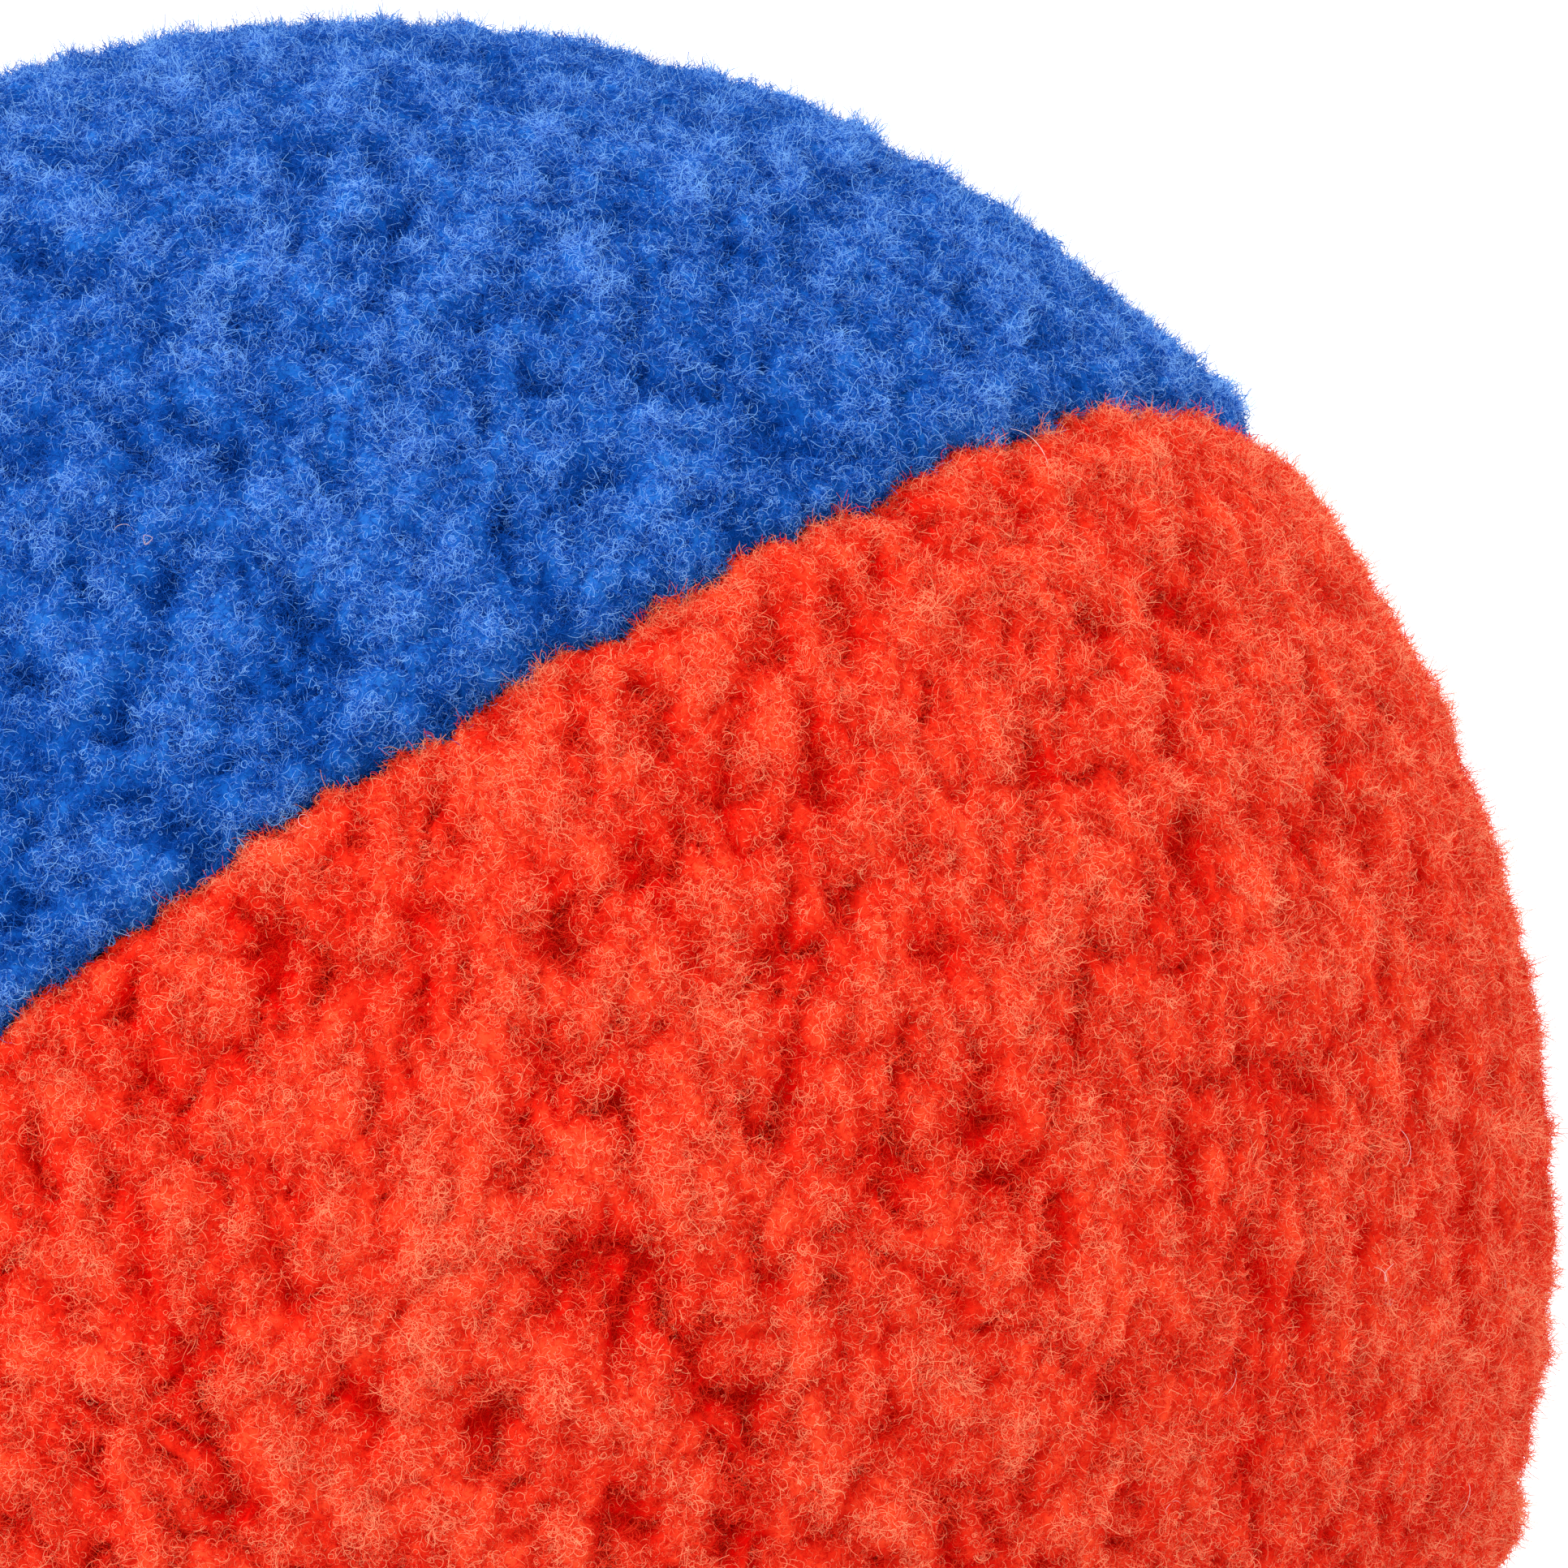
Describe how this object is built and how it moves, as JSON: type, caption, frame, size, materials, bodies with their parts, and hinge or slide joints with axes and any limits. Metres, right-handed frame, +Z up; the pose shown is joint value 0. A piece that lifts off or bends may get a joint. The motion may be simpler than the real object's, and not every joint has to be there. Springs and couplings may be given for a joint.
{
  "type": "juggling ball",
  "caption": "Round juggling beanbag with a soft brushed-fleece cover of blue and red lens-shaped panels over an inner bag of grain.",
  "frame": {"origin": "middle of the flat patch that the ball has settled on, under the middle of the ball", "axes": "+X and -X run to the two poles where the seams meet, the blue panels face +Z and -Z, the red panels face -Y (front) and +Y (back), and +Z is up"},
  "size_m": [0.066, 0.066, 0.0632],
  "materials": {
    "blue_fleece": "soft brushed pile, matt",
    "red_fleece": "soft brushed pile, matt",
    "sewing_thread": "spun sewing thread, dark blue",
    "bag_cloth": "plain close weave, undyed",
    "bag_thread": "spun sewing thread, off-white",
    "grain": "small smooth millet seeds"
  },
  "bodies": {
    "root": {"cover_panel_top": "blue_fleece", "cover_panel_bottom": "blue_fleece", "cover_panel_front": "red_fleece", "cover_panel_back": "red_fleece", "cover_thread_back_top": "sewing_thread", "cover_thread_top_front": "sewing_thread", "cover_thread_front_bottom": "sewing_thread", "cover_thread_bottom_back": "sewing_thread", "cover_closing_thread": "sewing_thread", "bag_panel_top": "bag_cloth", "bag_panel_bottom": "bag_cloth", "bag_panel_front": "bag_cloth", "bag_panel_back": "bag_cloth", "bag_thread_back_top": "bag_thread", "bag_thread_top_front": "bag_thread", "bag_thread_front_bottom": "bag_thread", "bag_thread_bottom_back": "bag_thread", "bag_closing_thread": "bag_thread", "grain_fill": "grain"}
  },
  "joints": []
}
